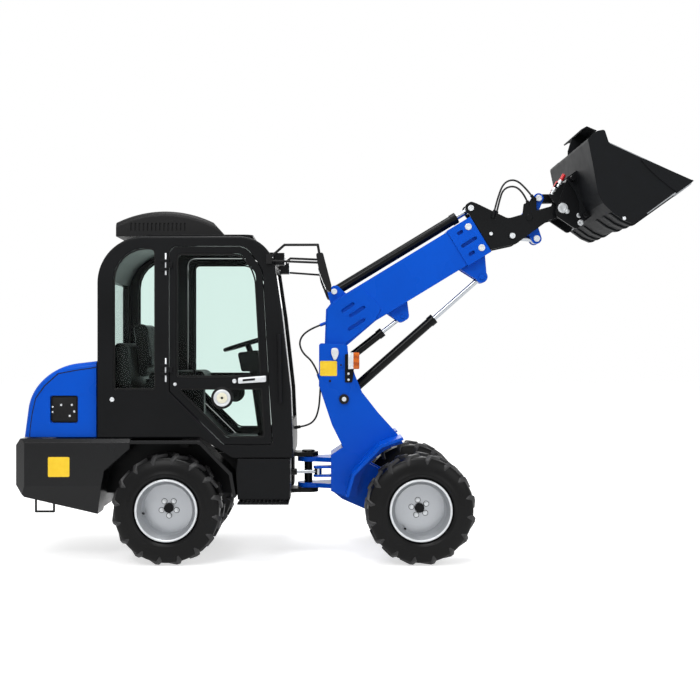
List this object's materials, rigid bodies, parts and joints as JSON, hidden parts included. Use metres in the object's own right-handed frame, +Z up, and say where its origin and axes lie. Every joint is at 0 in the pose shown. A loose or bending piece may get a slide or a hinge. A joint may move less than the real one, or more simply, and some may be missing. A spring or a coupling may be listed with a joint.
{
  "type": "articulated telescopic wheel loader",
  "caption": "Compact articulated wheel loader with a cab, a telescopic boom on a tower, a tilting bucket, steering pivot, opening doors and an engine hood.",
  "frame": {"origin": "on the ground under the middle of the machine's bounding box", "axes": "+X forward to the bucket, +Y to the machine's left, +Z up"},
  "size_m": [4.7604, 1.4, 3.1412],
  "materials": {
    "black_paint": "satin",
    "blue_paint": "gloss",
    "chrome": "polished",
    "glass": "clear",
    "black_plastic": "matte",
    "seat_cover": "matte",
    "engine_iron": "matte",
    "coupler_red": "gloss",
    "rim_paint": "satin",
    "tyre": "matte",
    "hose_rubber": "smooth"
  },
  "bodies": {
    "rear_frame": {"rear_chassis": "black_paint", "counterweight": "black_paint", "engine_block": "engine_iron", "rear_axle": "black_paint", "rear_fenders": "black_paint", "side_boxes": "black_paint", "cab_base": "black_paint", "cab_frame": "black_paint", "cab_roof": "black_paint", "roof_cooler": "black_plastic", "quarter_windows": "glass", "windscreen": "glass", "rear_window": "glass", "seat_cushion": "seat_cover", "seat_back": "seat_cover", "steering_column": "black_plastic", "control_lever": "black_plastic", "work_lamps": "black_paint", "mirrors": "black_plastic", "hand_rails": "black_paint", "hood_hinges": "black_paint"},
    "hood": {"engine_hood": "blue_paint"},
    "right_door": {"door_right": "black_paint", "door_glass_right": "glass"},
    "left_door": {"door_left": "black_paint", "door_glass_left": "glass"},
    "front_frame": {"front_frame": "blue_paint", "front_axle": "black_paint", "front_fenders": "blue_paint", "tower_lamps": "black_paint", "steer_hose": "hose_rubber", "lift_hose": "hose_rubber"},
    "boom": {"outer_boom": "blue_paint", "telescope_barrel": "black_paint"},
    "inner_boom": {"inner_boom": "blue_paint", "boom_head": "black_paint", "telescope_rod": "chrome", "nose_hose_near": "hose_rubber", "nose_hose_far": "hose_rubber"},
    "hitch": {"hitch_frame": "black_paint", "bucket": "black_paint", "couplers": "coupler_red"},
    "bell_crank": {"bell_crank": "blue_paint"},
    "tilt_link": {"tilt_link": "black_paint"},
    "tilt_barrel": {"tilt_barrel": "black_paint"},
    "tilt_rod": {"tilt_rod": "chrome"},
    "lift_barrel": {"lift_barrel": "black_paint"},
    "lift_rod": {"lift_rod": "chrome"},
    "comp_barrel": {"comp_barrel": "black_paint"},
    "comp_rod": {"comp_rod": "chrome"},
    "steer_barrel": {"steer_barrel": "black_paint"},
    "steer_rod": {"steer_rod": "chrome"},
    "wheel_rear_right": {"rim_rear_right": "rim_paint", "tyre_rear_right": "tyre"},
    "wheel_rear_left": {"rim_rear_left": "rim_paint", "tyre_rear_left": "tyre"},
    "wheel_front_right": {"rim_front_right": "rim_paint", "tyre_front_right": "tyre"},
    "wheel_front_left": {"rim_front_left": "rim_paint", "tyre_front_left": "tyre"}
  },
  "joints": [
    {"name": "steer", "type": "hinge", "parent": "rear_frame", "child": "front_frame", "pos_m": [-0.313, 0, 0.608], "axis": [0, 0, 1], "range_deg": [-40, 40], "deforming": ["steer_hose"]},
    {"name": "lift", "type": "hinge", "parent": "front_frame", "child": "boom", "pos_m": [-0.113, 0, 1.488], "axis": [0, -1, 0], "range_deg": [-68, 15], "deforming": ["lift_hose"]},
    {"name": "telescope", "type": "slide", "parent": "boom", "child": "inner_boom", "axis": [0.8545, 0, 0.5195], "range_m": [0, 0.75]},
    {"name": "tilt", "type": "hinge", "parent": "inner_boom", "child": "hitch", "pos_m": [1.57633, 0, 2.56311], "axis": [0, 1, 0], "range_deg": [-40, 85]},
    {"name": "crank_turn", "type": "hinge", "parent": "inner_boom", "child": "bell_crank", "pos_m": [1.33833, 0, 2.50011], "axis": [0, 1, 0], "range_deg": [-16.5, 34.5]},
    {"name": "link_turn", "type": "hinge", "parent": "hitch", "child": "tilt_link", "pos_m": [1.65333, 0, 2.65511], "axis": [0, 1, 0], "range_deg": [-63.4, 30.1]},
    {"name": "tilt_cylinder_swing", "type": "hinge", "parent": "inner_boom", "child": "tilt_barrel", "pos_m": [1.05133, 0, 2.37711], "axis": [0, 1, 0], "range_deg": [-4.1, 8.15]},
    {"name": "tilt_cylinder_slide", "type": "slide", "parent": "tilt_barrel", "child": "tilt_rod", "axis": [0.9958, 0, -0.0913], "range_m": [-0.0853, 0.0407]},
    {"name": "lift_cylinder_swing", "type": "hinge", "parent": "front_frame", "child": "lift_barrel", "pos_m": [-0.046, 0, 1.147], "axis": [0, -1, 0], "range_deg": [-67.85, 15.36]},
    {"name": "lift_cylinder_slide", "type": "slide", "parent": "lift_barrel", "child": "lift_rod", "axis": [0.7496, 0, 0.6619], "range_m": [-0.3516, 0.0783]},
    {"name": "comp_cylinder_swing", "type": "hinge", "parent": "front_frame", "child": "comp_barrel", "pos_m": [-0.069, 0, 1.399], "axis": [0, -1, 0], "range_deg": [-71.74, 16.21]},
    {"name": "comp_cylinder_slide", "type": "slide", "parent": "comp_barrel", "child": "comp_rod", "axis": [0.7869, 0, 0.6171], "range_m": [-0.1097, 0.025]},
    {"name": "steer_cylinder_swing", "type": "hinge", "parent": "rear_frame", "child": "steer_barrel", "pos_m": [-0.733, -0.2, 0.608], "axis": [0, 0, 1], "range_deg": [-4.8, 4.8]},
    {"name": "steer_cylinder_slide", "type": "slide", "parent": "steer_barrel", "child": "steer_rod", "axis": [0.9901, 0.14, 0], "range_m": [-0.094, 0.094]},
    {"name": "door_right_swing", "type": "hinge", "parent": "rear_frame", "child": "right_door", "pos_m": [-1.294, -0.537, 1.7], "axis": [0, 0, -1], "range_deg": [0, 95]},
    {"name": "door_left_swing", "type": "hinge", "parent": "rear_frame", "child": "left_door", "pos_m": [-1.294, 0.537, 1.7], "axis": [0, 0, 1], "range_deg": [0, 95]},
    {"name": "hood_lift", "type": "hinge", "parent": "rear_frame", "child": "hood", "pos_m": [-1.808, 0, 1.446], "axis": [0, 1, 0], "range_deg": [0, 50]},
    {"name": "wheel_rear_right_spin", "type": "hinge", "parent": "rear_frame", "child": "wheel_rear_right", "pos_m": [-1.293, -0.491, 0.39], "axis": [0, 1, 0], "continuous": true},
    {"name": "wheel_rear_left_spin", "type": "hinge", "parent": "rear_frame", "child": "wheel_rear_left", "pos_m": [-1.293, 0.491, 0.39], "axis": [0, 1, 0], "continuous": true},
    {"name": "wheel_front_right_spin", "type": "hinge", "parent": "front_frame", "child": "wheel_front_right", "pos_m": [0.485, -0.491, 0.39], "axis": [0, 1, 0], "continuous": true},
    {"name": "wheel_front_left_spin", "type": "hinge", "parent": "front_frame", "child": "wheel_front_left", "pos_m": [0.485, 0.491, 0.39], "axis": [0, 1, 0], "continuous": true}
  ],
  "couplings": [
    {"joint": "crank_turn", "follows": "tilt", "ratio": 0.4},
    {"joint": "link_turn", "follows": "tilt", "ratio": -0.74},
    {"joint": "tilt_cylinder_swing", "follows": "tilt", "ratio": 0.09},
    {"joint": "tilt_cylinder_slide", "follows": "tilt", "m_per_rad": -0.0568},
    {"joint": "lift_cylinder_swing", "follows": "lift", "ratio": 0.9904},
    {"joint": "lift_cylinder_slide", "follows": "lift", "m_per_rad": 0.2954},
    {"joint": "comp_cylinder_swing", "follows": "lift", "ratio": 1.0476},
    {"joint": "comp_cylinder_slide", "follows": "lift", "m_per_rad": 0.0916},
    {"joint": "steer_cylinder_swing", "follows": "steer", "ratio": 0.1076},
    {"joint": "steer_cylinder_slide", "follows": "steer", "m_per_rad": 0.1332}
  ]
}
